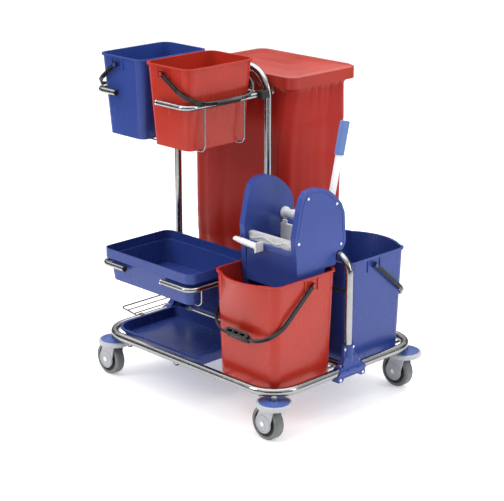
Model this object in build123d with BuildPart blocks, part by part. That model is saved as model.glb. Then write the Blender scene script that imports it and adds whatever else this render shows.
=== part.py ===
"""Housekeeping cart: a chromed tube frame on casters that carries buckets, a wringer, a tray and a bag."""

import os
from math import cos, radians, sin

from build123d import *

os.makedirs("parts", exist_ok=True)

# ---------------------------------------------------------------- driving dimensions, in millimetres
# X runs from the bag end to the mop-bucket end, Y from the front to the back, Z up from the floor.
base_x = 37.0  # middle of the wheelbase, placed so that the whole cart is centred on the origin
wheelbase_x = 680.0  # between caster axes, along X
wheelbase_y = 550.0  # between caster axes, along Y

# Casters
wheel_dia = 100.0
tread_width = 30.0
tyre_bore_dia = 72.0
hub_width = 26.0
caster_trail = 24.0
axle_dia = 8.0
stem_dia = 12.0
running_gap = 0.05  # radial clearance of a shaft that turns in its hole
fork_gap = 2.0  # between a wheel and each fork leg
fork_leg = 4.0
leg_disc_dia = 57.0
crown_low, crown_high = 101.8, 106.0
buffer_dia = 101.0
buffer_low, buffer_high = 106.3, 119.5
collar_dia = 22.0

# Base ring
ring_tube = 25.0
ring_z = 145.0
ring_x = 365.5  # half length of the ring's centre line
ring_y = 300.5  # half width of the ring's centre line
ring_bend = 87.0
tube_wall = 1.5
spine_dia = 22.0
spine_z = 146.0
rail_dia = 8.0
rail_z = 132.5
rail_x = [base_x + 130.0, base_x + 217.0, base_x + 304.0]
brace_x = base_x + 52.0
brace_dia = 18.0
strap_dia = 6.0
strap_z = 110.5
strap_x = [base_x - 270.0, base_x - 60.0]

# Upright arch and the hoop between the two mop buckets
post_dia = 22.0
arch_left_x = base_x - 350.0
arch_right_x = base_x + 38.0
arch_top_z = 961.0
arch_bend = 80.0
hoop_left_x = base_x + 76.0
hoop_right_x = base_x + 361.0
hoop_top_z = 476.0
hoop_bend = 52.0
hoop_bar_z = 372.0
hoop_bar_dia = 10.0
socket_z = 164.0  # where the uprights end inside their brackets

# Post brackets
bracket_top_z = 217.0
bracket_foot_z = 118.0
bracket_half_width = 56.0
bracket_skin = 4.0
screw_head_dia, screw_shank_dia = 8.4, 4.0

# Tube holders hung on the arch: one for the small buckets, one for the tray
holder_tube = 16.0
holder_front_y = -308.0
holder_back_y = -27.0
holder_bend = 30.0
upper_holder_z = 893.0
upper_holder_ends = (base_x - 267.0, base_x - 86.0)
upper_cradle_z = 762.0
upper_cradle_y = (-245.0, -95.0)
tray_holder_z = 369.0
tray_holder_ends = (base_x - 250.0, base_x - 81.0)
tray_cradle_z = 314.0
tray_cradle_y = (-264.0, -90.0)
cradle_wire = 5.0
clamp_half = 14.0
clamp_high = 20.0
clamp_y = (-38.0, -8.0)
bolt_dia = 7.0

# Buckets: sizes over the rim
small_size = (189.0, 262.0)
small_blue_x = base_x - 254.0
small_red_x = base_x - 58.0
small_y = -174.0
small_floor_z, small_rim_z = 765.0, 998.0
small_taper = 16.0
small_pivot_z = 975.0
small_red_pivot_x = base_x - 68.0
small_red_reach, small_red_hang = 147.0, 31.0  # hang is in degrees below level
small_blue_pivot_x = base_x - 265.0
small_blue_reach, small_blue_hang = 134.0, 36.8
mop_size = (250.0, 255.0)
mop_x = base_x + 217.0
mop_y = 147.5
mop_floor_z, mop_rim_z = 137.0, 443.0
mop_taper = 9.0
mop_belly = 30.0
mop_pivot_y, mop_pivot_z = 130.0, 420.0
mop_reach, mop_hang = 218.0, 39.7
bucket_wall = 2.6
bucket_corner = 30.0
lip_out = 4.0
lip_high = 5.0
pivot_dia = 8.0
bail_thick = 5.0
bail_width = 12.0
bail_gap = 1.5  # between the lip and a bail's arm

# Tray
tray_x = base_x - 156.0
tray_y = -176.5
tray_body = (368.0, 243.0)
tray_band = (388.0, 261.0)
tray_floor_z, tray_step_z, tray_rim_z = 317.0, 386.0, 415.0
tray_taper = 9.0
tray_wall = 2.8
tray_corner = 27.0

# Bottom shelf and the deep tub behind it
shelf_x = (base_x - 347.0, base_x + 36.0)
shelf_y = (-282.0, -20.0)
shelf_z = (128.0, 160.0)
shelf_corner = 84.0
tub_x = (base_x - 347.0, base_x + 80.0)
tub_y = (14.0, 282.0)
tub_z = (114.0, 285.0)
tub_wall = 3.0
tub_taper = 8.0
tub_floor_corner, rim_corner = 130.0, 66.0  # next to the ring: wide at the floor to clear the caster
other_corner = 24.0

# Bag and lid
bag_wall = 3.0
bag_z = [117.5, 300.0, 450.0, 800.0, 916.0]
bag_left = [base_x - 325.0, base_x - 324.0, base_x - 322.0, base_x - 320.0, base_x - 276.0]
bag_right = [base_x + 62.0, base_x + 70.0, base_x + 82.0, base_x + 83.0, base_x + 96.0]
bag_front = [32.0, 25.0, 26.0, 28.0, 38.0]
bag_back = [262.0, 270.0, 290.0, 292.0, 276.0]
bag_corner = [95.0, 60.0, 40.0, 34.0, 34.0]
lid_x = (base_x - 287.0, base_x + 112.0)
lid_y = (22.0, 300.0)
lid_skirt_z, lid_edge_z = 907.0, 940.0
lid_crown = 13.0
lid_corner = 30.0
lid_wall = 2.5
bag_ring_z = 922.0
bag_ring_tube = 10.0
bag_ring_inset = 15.0
bag_arm_dia = 6.0
bag_arm_z = 903.0
bag_arm_y = 29.5
bag_arm_x = base_x - 200.0
lid_pin_y, lid_pin_z = 308.0, 902.0
lid_pin_dia = 6.0
hinge_x = [base_x - 230.0, base_x + 40.0]

# Wringer
cheek_left_x = base_x + 106.0  # outer face of the left cheek
cheek_right_x = base_x + 318.0  # outer face of the right cheek
cheek_thick = 16.0
cheek_wall = 3.5
cover_thick = 3.0
wringer_foot_z, wringer_leg_z = 360.6, 366.0
lever_y, lever_z = -17.0, 561.0  # axis of the lever shaft
lever_shaft_dia = 26.0
lever_lean = 13.5
lever_x = base_x + 284.0
lever_bar = (8.0, 24.0)
lever_grip_start, lever_grip_end = 196.0, 292.0
jaw_y = -56.0
jaw_z = (403.0, 545.0)
guide_dia, guide_z = 8.0, 478.0
jaw_x = (base_x + 150.0, base_x + 274.0)
basin_y = (-168.0, -33.0)
basin_z = (396.0, 505.0)
basin_wall = 3.5

# Fold-up wire rack outside the left end of the ring
rack_wire = 5.0
rack_half = 148.0
rack_reach = 96.5
rack_spacing = [37.0, 68.0]
rack_tilt = 6.0


def save(piece, node):
    """Names a finished piece and writes it as its own file."""
    piece.label = node
    export_step(piece, f"parts/{node}.step")


def round_tube(points, bend, outside, wall=0.0, closed=False):
    """A bent tube: straight runs between the points, joined by round bends."""
    with BuildPart() as bent:
        with BuildLine() as route:
            FilletPolyline(*points, radius=bend, close=closed)
        with BuildSketch(Plane(origin=route.line @ 0, z_dir=route.line % 0)):
            Circle(outside / 2)
            if wall > 0:
                Circle(outside / 2 - wall, mode=Mode.SUBTRACT)
        sweep()
    return bent.part


def rod(start, end, diameter):
    """A straight round rod between two points."""
    axis = Vector(*end) - Vector(*start)
    with BuildPart() as bar:
        with BuildSketch(Plane(origin=start, z_dir=axis)):
            Circle(diameter / 2)
        extrude(amount=axis.length)
    return bar.part


def block(low, high):
    """A box between its lowest and highest corners."""
    with BuildPart() as box:
        with BuildSketch(Plane.XY.offset(low[2])):
            with Locations(((low[0] + high[0]) / 2, (low[1] + high[1]) / 2)):
                Rectangle(high[0] - low[0], high[1] - low[1])
        extrude(amount=high[2] - low[2])
    return box.part


# ================================================================ base frame
ring_corners = [
    (base_x - ring_x, -ring_y, ring_z),
    (base_x + ring_x, -ring_y, ring_z),
    (base_x + ring_x, ring_y, ring_z),
    (base_x - ring_x, ring_y, ring_z),
]
ring_solid = round_tube(ring_corners, ring_bend, ring_tube, closed=True)
ring_bore = round_tube(ring_corners, ring_bend, ring_tube - 2 * tube_wall, closed=True)
caster_spots = {
    "front_left": (base_x - wheelbase_x / 2, -wheelbase_y / 2),
    "front_right": (base_x + wheelbase_x / 2, -wheelbase_y / 2),
    "rear_left": (base_x - wheelbase_x / 2, wheelbase_y / 2),
    "rear_right": (base_x + wheelbase_x / 2, wheelbase_y / 2),
}

with BuildPart() as base_ring:
    add(ring_solid)
    add(ring_bore, mode=Mode.SUBTRACT)
    with BuildSketch(Plane.XY.offset(ring_z - ring_tube)):
        with Locations(*caster_spots.values()):
            Circle(stem_dia / 2 + 2 * running_gap)
    extrude(amount=ring_tube, mode=Mode.SUBTRACT)
save(base_ring.part, "base_ring")

spine = rod((base_x - ring_x, 0, spine_z), (base_x + ring_x, 0, spine_z), spine_dia)

with BuildPart() as base_bars:
    add(spine)
    for x in rail_x:
        add(rod((x, -ring_y, rail_z), (x, ring_y, rail_z), rail_dia))
    for x in strap_x:
        drop = [(x, -296, 137), (x, -281, strap_z), (x, 281, strap_z), (x, 296, 137)]
        add(round_tube(drop, 12, strap_dia))
    add(ring_solid, mode=Mode.SUBTRACT)
save(base_bars.part, "base_bars")


# ================================================================ shelf and bag tub
def tub_outline(x_range, y_range, height, inset, corner, ring_corner):
    """One level of a tub: three plain corners and one that follows the ring."""
    middle = ((x_range[0] + x_range[1]) / 2, (y_range[0] + y_range[1]) / 2)
    near = (ring_corner[0], ring_corner[1], height)
    with BuildSketch(Plane.XY.offset(height)) as shape:
        with Locations(middle):
            Rectangle(x_range[1] - x_range[0] - 2 * inset, y_range[1] - y_range[0] - 2 * inset)
        fillet(shape.vertices().sort_by_distance(near)[0], corner - inset)
        fillet(shape.vertices().sort_by_distance(near)[-3:], other_corner - inset)
    return shape.sketch


def tub(x_range, y_range, z_range, ring_corner, floor_corner):
    """An open tub with sloping walls and a lip."""
    floor_z, rim_z = z_range
    foot = lip_out + tub_taper
    low = tub_outline(x_range, y_range, floor_z, foot, floor_corner, ring_corner)
    high = tub_outline(x_range, y_range, rim_z, lip_out, rim_corner, ring_corner)
    lip = tub_outline(x_range, y_range, rim_z - lip_high, 0, rim_corner, ring_corner)
    inner_low = tub_outline(x_range, y_range, floor_z + tub_wall, foot + tub_wall, floor_corner, ring_corner)
    inner_high = tub_outline(x_range, y_range, rim_z, lip_out + tub_wall, rim_corner, ring_corner)
    with BuildPart() as vessel:
        loft([low.face(), high.face()])
        extrude(lip, amount=lip_high)
        loft([inner_low.face(), inner_high.face()], mode=Mode.SUBTRACT)
    return vessel.part


with BuildPart() as bottom_shelf:
    add(tub(shelf_x, shelf_y, shelf_z, (shelf_x[0], shelf_y[0]), shelf_corner))
    for x in strap_x:
        add(block((x - 8, -240, tub_z[0]), (x + 8, -60, shelf_z[0] + 0.5)))
save(bottom_shelf.part, "bottom_shelf")
save(tub(tub_x, tub_y, tub_z, (tub_x[0], tub_y[1]), tub_floor_corner), "bag_tub")

# ================================================================ arch and hoop
arch_route = [
    (arch_left_x, 0, socket_z),
    (arch_left_x, 0, arch_top_z),
    (arch_right_x, 0, arch_top_z),
    (arch_right_x, 0, spine_z),
]
arch_solid = round_tube(arch_route, arch_bend, post_dia)
arch_bore = round_tube(arch_route, arch_bend, post_dia - 2 * tube_wall)
post_spots = [(x, z) for x in (arch_left_x, arch_right_x) for z in (upper_holder_z, tray_holder_z)]

with BuildPart() as main_arch:
    add(arch_solid)
    add(arch_bore, mode=Mode.SUBTRACT)
    add(base_bars.part, mode=Mode.SUBTRACT)
    with BuildSketch(Plane.XZ.offset(-post_dia)):
        with Locations(*post_spots):
            Circle(bolt_dia / 2 + 0.1)
    extrude(amount=2 * post_dia, mode=Mode.SUBTRACT)
save(main_arch.part, "main_arch")

hoop_route = [
    (hoop_left_x, 0, spine_z),
    (hoop_left_x, 0, hoop_top_z),
    (hoop_right_x, 0, hoop_top_z),
    (hoop_right_x, 0, socket_z),
]
hoop_solid = round_tube(hoop_route, hoop_bend, post_dia)
hoop_bore = round_tube(hoop_route, hoop_bend, post_dia - 2 * tube_wall)

with BuildPart() as bucket_hoop:
    add(hoop_solid)
    add(hoop_bore, mode=Mode.SUBTRACT)
    add(base_bars.part, mode=Mode.SUBTRACT)
save(bucket_hoop.part, "bucket_hoop")

with BuildPart() as hoop_crossbar:
    add(rod((hoop_left_x, 0, hoop_bar_z), (hoop_right_x, 0, hoop_bar_z), hoop_bar_dia))
    add(hoop_solid, mode=Mode.SUBTRACT)
save(hoop_crossbar.part, "hoop_crossbar")


# ================================================================ post brackets
def bracket(side, post_reach):
    """A moulded foot that clamps a post to the end tube of the ring; side is -1 at the left end."""

    def out(distance):
        return base_x + side * distance

    def slab(near, far, half_y, low_z, high_z):
        x_low, x_high = sorted((out(near), out(far)))
        return block((x_low, -half_y, low_z), (x_high, half_y, high_z))

    flare = [
        (bracket_half_width, 143),
        (47, 156),
        (34, 168),
        (25, 184),
        (21.5, 200),
        (21.5, bracket_top_z),
    ]
    mirrored = [(-y, z) for y, z in reversed(flare)]
    foot_inside = bracket_half_width - 17
    sole = [
        (-bracket_half_width, bracket_foot_z),
        (-foot_inside, bracket_foot_z),
        (-foot_inside + 8, bracket_foot_z + 9),
        (foot_inside - 8, bracket_foot_z + 9),
        (foot_inside, bracket_foot_z),
        (bracket_half_width, bracket_foot_z),
    ]
    shoulder = [
        (out(ring_x + 14), ring_z),
        (out(post_reach + 12), 184),
        (out(post_reach + 5), 190),
        (out(post_reach + 5), bracket_top_z),
        (out(post_reach - 4), bracket_top_z),
        (out(post_reach - 4), 164),
        (out(ring_x - 14), 158),
        (out(ring_x - 14), ring_z),
    ]
    with BuildPart() as mass:
        add(rod((out(post_reach), 0, 128), (out(post_reach), 0, bracket_top_z), post_dia + 2 * bracket_skin))
        grip = ring_tube + 2 * bracket_skin
        add(rod((out(ring_x), -bracket_half_width, ring_z), (out(ring_x), bracket_half_width, ring_z), grip))
        add(slab(post_reach - 13, ring_x, 12.5, 128, 172))
        add(slab(ring_x - 12, ring_x + 13, bracket_half_width, bracket_foot_z, ring_z))
        with BuildSketch(Plane.XZ.offset(-bracket_half_width)):
            with BuildLine():
                Polyline(*shoulder, close=True)
            make_face()
        extrude(amount=2 * bracket_half_width)
        with BuildSketch(Plane.YZ.offset(min(out(300), out(400)))):
            with BuildLine():
                Polyline(*flare, *mirrored, *sole, close=True)
            make_face()
        extrude(amount=100, mode=Mode.INTERSECT)
        add(ring_solid, mode=Mode.SUBTRACT)
        add(spine, mode=Mode.SUBTRACT)
        add(rod((out(post_reach), 0, socket_z), (out(post_reach), 0, 400), post_dia), mode=Mode.SUBTRACT)
        for y, z, seat, depth in screw_seats(post_reach):
            head = rod((out(seat), y, z), (out(seat + 30), y, z), screw_head_dia + 0.4)
            add(head, mode=Mode.SUBTRACT)
            add(rod((out(seat - depth), y, z), (out(seat), y, z), screw_shank_dia), mode=Mode.SUBTRACT)
        for y in (-21, 21):
            pip = rod((out(ring_x + 13.5), y, ring_z + 4), (out(ring_x + 30), y, ring_z + 4), 5)
            add(pip, mode=Mode.SUBTRACT)
    return mass.part


def screw_seats(post_reach):
    """Where the bracket screws sit: y, z, how far out the seat is, and how deep the screw goes."""
    seats = []
    for side in (-1, 1):
        seats.append((side * 16.5, 207, post_reach + 4, 6))
        seats.append((side * 38, 162.5, ring_x + 3, 8))
        seats.append((side * 47, 125, ring_x + 11, 8))
    return seats


save(bracket(-1, base_x - arch_left_x), "bracket_left")
save(bracket(1, hoop_right_x - base_x), "bracket_right")

with BuildPart() as bracket_screws:
    for side, post_reach in ((-1, base_x - arch_left_x), (1, hoop_right_x - base_x)):
        for y, z, seat, depth in screw_seats(post_reach):
            foot = base_x + side * (seat - depth)
            face = base_x + side * seat
            cap = base_x + side * (seat + 2.2)
            add(rod((foot, y, z), (face, y, z), screw_shank_dia))
            add(rod((face, y, z), (cap, y, z), screw_head_dia))
save(bracket_screws.part, "bracket_screws")


# ================================================================ tube holders
def holder(level, ends, cradle_z, cradle_y):
    """An open loop of tube with two wires hung across it; returns the part and its plain outer shape."""
    route = [
        (ends[1], holder_front_y, level),
        (arch_right_x, holder_front_y, level),
        (arch_right_x, holder_back_y, level),
        (arch_left_x, holder_back_y, level),
        (arch_left_x, holder_front_y, level),
        (ends[0], holder_front_y, level),
    ]
    shell = round_tube(route, holder_bend, holder_tube)
    bore = round_tube(route, holder_bend, holder_tube - 2 * tube_wall)
    with BuildPart() as loop:
        add(shell)
        for y in cradle_y:
            hang = [
                (arch_right_x, y, level),
                (arch_right_x, y, cradle_z),
                (arch_left_x, y, cradle_z),
                (arch_left_x, y, level),
            ]
            add(round_tube(hang, 18, cradle_wire))
        add(bore, mode=Mode.SUBTRACT)
    return loop.part, shell


upper_holder, upper_shell = holder(upper_holder_z, upper_holder_ends, upper_cradle_z, upper_cradle_y)
tray_holder, tray_shell = holder(tray_holder_z, tray_holder_ends, tray_cradle_z, tray_cradle_y)
save(upper_holder, "upper_holder")
save(tray_holder, "tray_holder")

with BuildPart() as holder_caps:
    for level, ends in ((upper_holder_z, upper_holder_ends), (tray_holder_z, tray_holder_ends)):
        for end, inward in ((ends[0], -1), (ends[1], 1)):
            start = (end, holder_front_y, level)
            add(rod(start, (end - inward * 4, holder_front_y, level), holder_tube + 1))
            add(rod(start, (end + inward * 12, holder_front_y, level), holder_tube - 2 * tube_wall))
save(holder_caps.part, "holder_caps")

with BuildPart() as clamp_bolts:
    for x, z in post_spots:
        add(rod((x, -25, z), (x, 22, z), bolt_dia))
        add(rod((x, post_dia / 2, z), (x, post_dia / 2 + 7, z), 13))
    add(arch_solid - arch_bore, mode=Mode.SUBTRACT)
save(clamp_bolts.part, "clamp_bolts")

with BuildPart() as holder_clamps:
    for x, z in post_spots:
        low = (x - clamp_half, clamp_y[0], z - clamp_high / 2)
        high = (x + clamp_half, clamp_y[1], z + clamp_high / 2)
        add(block(low, high))
        add(rod((x, -26, z), (x, 23, z), bolt_dia), mode=Mode.SUBTRACT)
    add(arch_solid, mode=Mode.SUBTRACT)
    add(upper_shell, mode=Mode.SUBTRACT)
    add(tray_shell, mode=Mode.SUBTRACT)
save(holder_clamps.part, "holder_clamps")

# ================================================================ casters
with BuildPart() as stem:
    with BuildSketch(Plane.XY.offset(98)):
        Circle(stem_dia / 2 + 0.5)
    extrude(amount=crown_low - 98.3)
    with BuildSketch(Plane.XY.offset(98)):
        Circle(stem_dia / 2)
    extrude(amount=ring_z - 5 - 98)
    with BuildSketch(Plane.XY.offset(120)):
        Circle(collar_dia / 2)
    extrude(amount=ring_z - 120)

with BuildPart() as caster_stems:
    with Locations(*caster_spots.values()):
        add(stem.part)
    add(ring_solid, mode=Mode.SUBTRACT)
    with BuildSketch(Plane.XY.offset(115)):
        with Locations(*caster_spots.values()):
            Circle(stem_dia / 2)
    extrude(amount=ring_z - 5 - 115)
save(caster_stems.part, "caster_stems")

core_r = buffer_dia / 2 - 6.5
with BuildPart() as disc:
    with BuildSketch(Plane.XZ):
        with BuildLine():
            Line((0, buffer_low), (core_r, buffer_low))
            Line((core_r, buffer_low), (core_r, buffer_high - 3))
            ThreePointArc((core_r, buffer_high - 3), (core_r - 14, buffer_high - 0.4), (collar_dia / 2, 121))
            Line((collar_dia / 2, 121), (0, 121))
            Line((0, 121), (0, buffer_low))
        make_face()
    revolve(axis=Axis.Z)

with BuildPart() as buffer_discs:
    with Locations(*caster_spots.values()):
        add(disc.part)
    add(caster_stems.part, mode=Mode.SUBTRACT)
save(buffer_discs.part, "buffer_discs")

with BuildPart() as rim:
    with BuildSketch(Plane.XY.offset(103.5)):
        Circle(buffer_dia / 2)
        Circle(core_r, mode=Mode.SUBTRACT)
    extrude(amount=14.0)
    fillet(rim.edges().filter_by(GeomType.CIRCLE).group_by(SortBy.RADIUS)[-1], 2.8)

with BuildPart() as buffer_rims:
    with Locations(*caster_spots.values()):
        add(rim.part)
save(buffer_rims.part, "buffer_rims")

leg_inside = tread_width / 2 + fork_gap
leg_outside = leg_inside + fork_leg
leg_shape = [
    (17, crown_high),
    (-30, crown_high),
    (-33, crown_low - 6),
    (-caster_trail - 28, wheel_dia / 2 + 5),
    (-caster_trail + 28, wheel_dia / 2 + 5),
]
with BuildPart() as fork:
    for start in (leg_inside, -leg_outside):
        with BuildSketch(Plane.XZ.offset(-start)):
            with BuildLine():
                Polyline(*leg_shape, close=True)
            make_face()
            with Locations((-caster_trail, wheel_dia / 2)):
                Circle(leg_disc_dia / 2)
        extrude(amount=-fork_leg)
    for start in (leg_outside, -leg_outside - 1.2):
        with BuildSketch(Plane.XZ.offset(-start)):
            with Locations((-caster_trail, wheel_dia / 2)):
                Circle(leg_disc_dia / 2 - 1.5)
                Circle(leg_disc_dia / 2 - 6, mode=Mode.SUBTRACT)
        extrude(amount=-1.2)
    with BuildSketch(Plane.XY.offset(crown_low)):
        with Locations((-8.5, 0)):
            RectangleRounded(57, 2 * leg_outside, 3)
    extrude(amount=crown_high - crown_low)
    with BuildSketch(Plane.XY.offset(crown_low)):
        Circle(stem_dia / 2 + running_gap)
    extrude(amount=crown_high, mode=Mode.SUBTRACT)
    with BuildSketch(Plane.XZ.offset(-leg_outside - 5)):
        with Locations((-caster_trail, wheel_dia / 2)):
            Circle(axle_dia / 2)
    extrude(amount=2 * leg_outside + 10, mode=Mode.SUBTRACT)

axle_from = (-caster_trail, -leg_outside, wheel_dia / 2)
axle_to = (-caster_trail, leg_outside, wheel_dia / 2)
with BuildPart() as axle:
    add(rod(axle_from, axle_to, axle_dia))
    for y, step in ((-leg_outside, -2.6), (leg_outside, 2.6)):
        add(rod((-caster_trail, y, wheel_dia / 2), (-caster_trail, y + step, wheel_dia / 2), 14))

wheel_plane = Plane.XZ.offset(-tread_width / 2)
with BuildPart() as tyre:
    with BuildSketch(wheel_plane):
        with Locations((-caster_trail, wheel_dia / 2)):
            Circle(wheel_dia / 2)
            Circle(tyre_bore_dia / 2, mode=Mode.SUBTRACT)
    extrude(amount=tread_width)
    fillet(tyre.edges().filter_by(GeomType.CIRCLE).group_by(SortBy.RADIUS)[-1], 5.5)

with BuildPart() as hub:
    with BuildSketch(Plane.XZ.offset(-hub_width / 2)):
        with Locations((-caster_trail, wheel_dia / 2)):
            Circle(tyre_bore_dia / 2)
            Circle(tyre_bore_dia / 2 - 6, mode=Mode.SUBTRACT)
            Circle(11)
    extrude(amount=hub_width)
    with BuildSketch(Plane.XZ.offset(-3)):
        with Locations((-caster_trail, wheel_dia / 2)):
            Circle(tyre_bore_dia / 2 - 3)
    extrude(amount=6)
    with BuildSketch(wheel_plane):
        with Locations((-caster_trail, wheel_dia / 2)):
            Circle(axle_dia / 2 + running_gap)
    extrude(amount=tread_width, mode=Mode.SUBTRACT)

for corner, spot in caster_spots.items():
    for piece, word in ((fork.part, "fork"), (axle.part, "axle"), (tyre.part, "tyre"), (hub.part, "hub")):
        save(Pos(spot[0], spot[1], 0) * piece, f"{word}_{corner}")


# ================================================================ buckets
def pivot_pins(middle, half, wall_half, along, pivot_z):
    """Bosses and pins for a bail, on the two opposite faces of a bucket."""
    with BuildPart() as pins:
        for side in (-1, 1):
            face = Vector(*middle) + Vector(*along) * (side * (wall_half - 1.2))
            seat = Vector(*middle) + Vector(*along) * (side * (half + 1.0))
            tip = Vector(*middle) + Vector(*along) * (side * (half + bail_gap + bail_thick + 0.5))
            head = Vector(*middle) + Vector(*along) * (side * (half + bail_gap + bail_thick + 2.5))
            for point in (face, seat, tip, head):
                point.Z = pivot_z
            add(rod(tuple(face), tuple(seat), 19))
            add(rod(tuple(seat), tuple(tip), pivot_dia))
            add(rod(tuple(tip), tuple(head), 12))
    return pins.part


def small_outline(middle_x, height, inset):
    with BuildSketch(Plane.XY.offset(height)) as shape:
        with Locations((middle_x, small_y)):
            RectangleRounded(small_size[0] - 2 * inset, small_size[1] - 2 * inset, bucket_corner - inset / 2)
    return shape.sketch


def small_bucket(middle_x, pivot_x):
    """A small lift-out bucket whose bail swings about a pivot axis along Y."""
    foot = lip_out + small_taper
    low = small_outline(middle_x, small_floor_z, foot)
    high = small_outline(middle_x, small_rim_z, lip_out)
    lip = small_outline(middle_x, small_rim_z - lip_high, 0)
    inner_low = small_outline(middle_x, small_floor_z + bucket_wall, foot + bucket_wall)
    inner_high = small_outline(middle_x, small_rim_z, lip_out + bucket_wall)
    drop = (small_rim_z - small_pivot_z) / (small_rim_z - small_floor_z)
    wall_half = small_size[1] / 2 - lip_out - small_taper * drop
    with BuildPart() as bucket:
        loft([low.face(), high.face()])
        extrude(lip, amount=lip_high)
        loft([inner_low.face(), inner_high.face()], mode=Mode.SUBTRACT)
        add(pivot_pins((pivot_x, small_y, 0), small_size[1] / 2, wall_half, (0, 1, 0), small_pivot_z))
        for x in (pivot_x - 24, pivot_x + 24):
            for side in (-1, 1):
                outer = small_y + side * (wall_half + 2.5)
                inner = small_y + side * (wall_half - 2)
                low_y, high_y = sorted((outer, inner))
                add(block((x - 1.5, low_y, small_pivot_z - 14), (x + 1.5, high_y, small_rim_z - lip_high)))
    return bucket.part


save(small_bucket(small_blue_x, small_blue_pivot_x), "upper_blue_bucket")
save(small_bucket(small_red_x, small_red_pivot_x), "upper_red_bucket")


def mop_outline(height, inset, belly):
    """One level of the front mop bucket; the spout side faces the front."""
    half_x = mop_size[0] / 2 - inset
    back = -mop_y + mop_size[1] / 2 - inset
    front = -mop_y - mop_size[1] / 2 + inset
    corner = bucket_corner - inset / 2
    with BuildSketch(Plane.XY.offset(height)) as shape:
        with Locations((mop_x, 0)):
            with BuildLine():
                Line((half_x, front + corner), (half_x, back - corner))
                RadiusArc((half_x, back - corner), (half_x - corner, back), -corner)
                Line((half_x - corner, back), (corner - half_x, back))
                RadiusArc((corner - half_x, back), (-half_x, back - corner), -corner)
                Line((-half_x, back - corner), (-half_x, front + corner))
                RadiusArc((-half_x, front + corner), (corner - half_x, front), -corner)
                ThreePointArc((corner - half_x, front), (0, front - belly - 0.4), (half_x - corner, front))
                RadiusArc((half_x - corner, front), (half_x, front + corner), -corner)
            make_face()
    return shape.sketch


mop_levels = [(0.0, 0.0), (0.4, 0.0), (0.7, 0.3), (1.0, 1.0)]


def mop_body(shrink, floor_z):
    faces = []
    for share, bulge in mop_levels:
        height = floor_z + share * (mop_rim_z - floor_z)
        inset = lip_out + mop_taper * (1 - share) + shrink
        faces.append(Pos(mop_x, 0, 0) * mop_outline(height, inset, mop_belly * bulge).face())
    return faces


ledge_low, ledge_high = (base_x + 100, -150, 350), (base_x + 126, -50, 360)
with BuildPart() as front_mop_bucket:
    loft(mop_body(0, mop_floor_z))
    rim_ring = Pos(mop_x, 0, 0) * mop_outline(mop_rim_z - lip_high, 0, mop_belly)
    extrude(rim_ring, amount=lip_high)
    loft(mop_body(bucket_wall, mop_floor_z + bucket_wall), mode=Mode.SUBTRACT)
    add(block(ledge_low, ledge_high))
    add(block((2 * mop_x - ledge_high[0], -150, 350), (2 * mop_x - ledge_low[0], -50, 360)))
    mop_drop = (mop_rim_z - mop_pivot_z) / (mop_rim_z - mop_floor_z)
    mop_wall_half = mop_size[0] / 2 - lip_out - mop_taper * mop_drop
    add(pivot_pins((mop_x, -mop_pivot_y, 0), mop_size[0] / 2, mop_wall_half, (1, 0, 0), mop_pivot_z))
    for y in (-mop_pivot_y - 26, -mop_pivot_y + 26):
        for side in (-1, 1):
            near, far = sorted((mop_x + side * (mop_wall_half - 2), mop_x + side * (mop_wall_half + 3)))
            add(block((near, y - 1.5, mop_pivot_z - 18), (far, y + 1.5, mop_rim_z - lip_high)))
save(front_mop_bucket.part, "lower_red_bucket")
save(mirror(front_mop_bucket.part, about=Plane.XZ), "lower_blue_bucket")


# ================================================================ bails
def bail(pivot, span, reach_way, half_inside, reach, corner, grip_size, grip_shift, slots):
    """A carrying handle: two arms, a rounded crosspiece and a grip, lying in one plane."""
    half_outside = half_inside + bail_thick
    plane = Plane(origin=pivot, x_dir=span, z_dir=Vector(*span).cross(Vector(*reach_way)))
    with BuildPart() as handle:
        with BuildSketch(plane.offset(-bail_width / 2)):
            RectangleRounded(2 * half_outside, 2 * reach, corner)
            inner_size = (2 * half_inside, 2 * (reach - bail_thick))
            RectangleRounded(*inner_size, corner - bail_thick, mode=Mode.SUBTRACT)
            with Locations((0, -reach)):
                Rectangle(2 * half_outside + 2, 2 * reach, mode=Mode.SUBTRACT)
        extrude(amount=bail_width)
        for side in (-1, 1):
            start = Vector(*pivot) + Vector(*span) * (side * half_inside)
            stop = Vector(*pivot) + Vector(*span) * (side * half_outside)
            add(rod(tuple(start), tuple(stop), 18))
        with BuildSketch(plane.offset(-grip_size[2] / 2)):
            with Locations((0, reach - bail_thick / 2 + grip_shift)):
                RectangleRounded(grip_size[0], grip_size[1], grip_size[1] / 2 - 0.5)
        extrude(amount=grip_size[2])
        if slots > 0:
            with BuildSketch(plane.offset(-grip_size[2])):
                with Locations((0, reach - bail_thick / 2 + grip_shift)):
                    with GridLocations(grip_size[0] / (slots + 0.6), 1, slots, 1):
                        RectangleRounded(grip_size[0] / (slots + 1.8), grip_size[1] * 0.36, 2)
            extrude(amount=2 * grip_size[2], mode=Mode.SUBTRACT)
        for side in (-1, 1):
            start = Vector(*pivot) + Vector(*span) * (side * (half_inside - 2))
            stop = Vector(*pivot) + Vector(*span) * (side * (half_outside + 2))
            add(rod(tuple(start), tuple(stop), pivot_dia + 2 * running_gap), mode=Mode.SUBTRACT)
    return handle.part


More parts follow.
